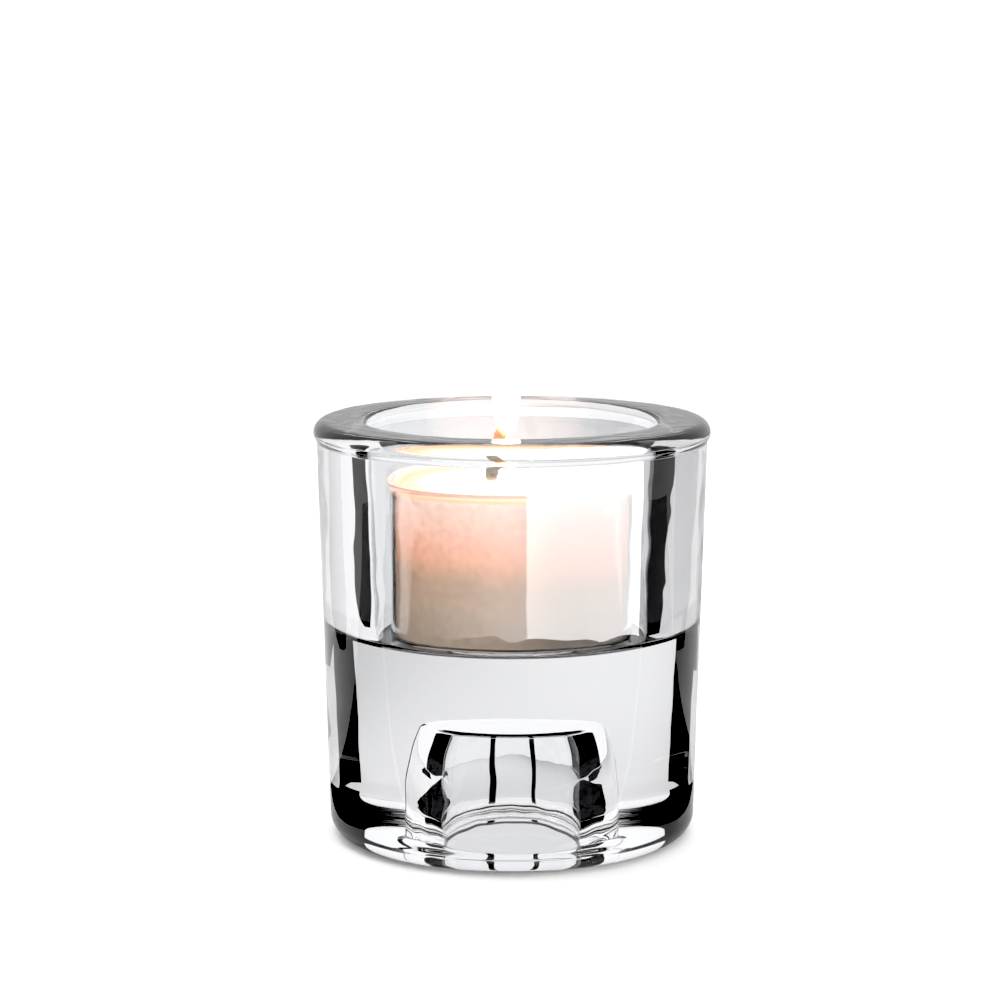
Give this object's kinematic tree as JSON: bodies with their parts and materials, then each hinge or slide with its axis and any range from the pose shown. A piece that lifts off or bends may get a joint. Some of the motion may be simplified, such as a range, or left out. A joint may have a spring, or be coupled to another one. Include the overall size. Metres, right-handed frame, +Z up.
{
  "type": "tealight holder",
  "caption": "Reversible clear glass candle holder: a tealight in a clear cup sits in the top well, and a taper socket is moulded in the underside.",
  "frame": {"origin": "centre of the foot, on the surface the holder stands on", "axes": "+Z up the holder's axis, from the foot to the rim; +X to the side that the wick leans to"},
  "size_m": [0.0612, 0.0612, 0.065],
  "materials": {
    "clear_glass": "clear, fire-polished pressed glass with faint flow marks",
    "clear_plastic": "thin clear polycarbonate, glossy",
    "wax": "translucent paraffin, satin, melted on top",
    "wick_cotton": "braided cotton, charred at the free end",
    "plated_steel": "thin tin-plated sheet, satin"
  },
  "bodies": {
    "holder": {"glass_holder": "clear_glass"},
    "tealight": {"tealight_cup": "clear_plastic"},
    "wax_slug": {"wax": "wax", "wick": "wick_cotton", "wick_sustainer": "plated_steel"}
  },
  "joints": [
    {"name": "tealight_lift", "type": "slide", "parent": "holder", "child": "tealight", "axis": [0, 0, 1], "range_m": [0, 0.04]},
    {"name": "wax_lift", "type": "slide", "parent": "tealight", "child": "wax_slug", "axis": [0, 0, 1], "range_m": [0, 0.028]}
  ]
}
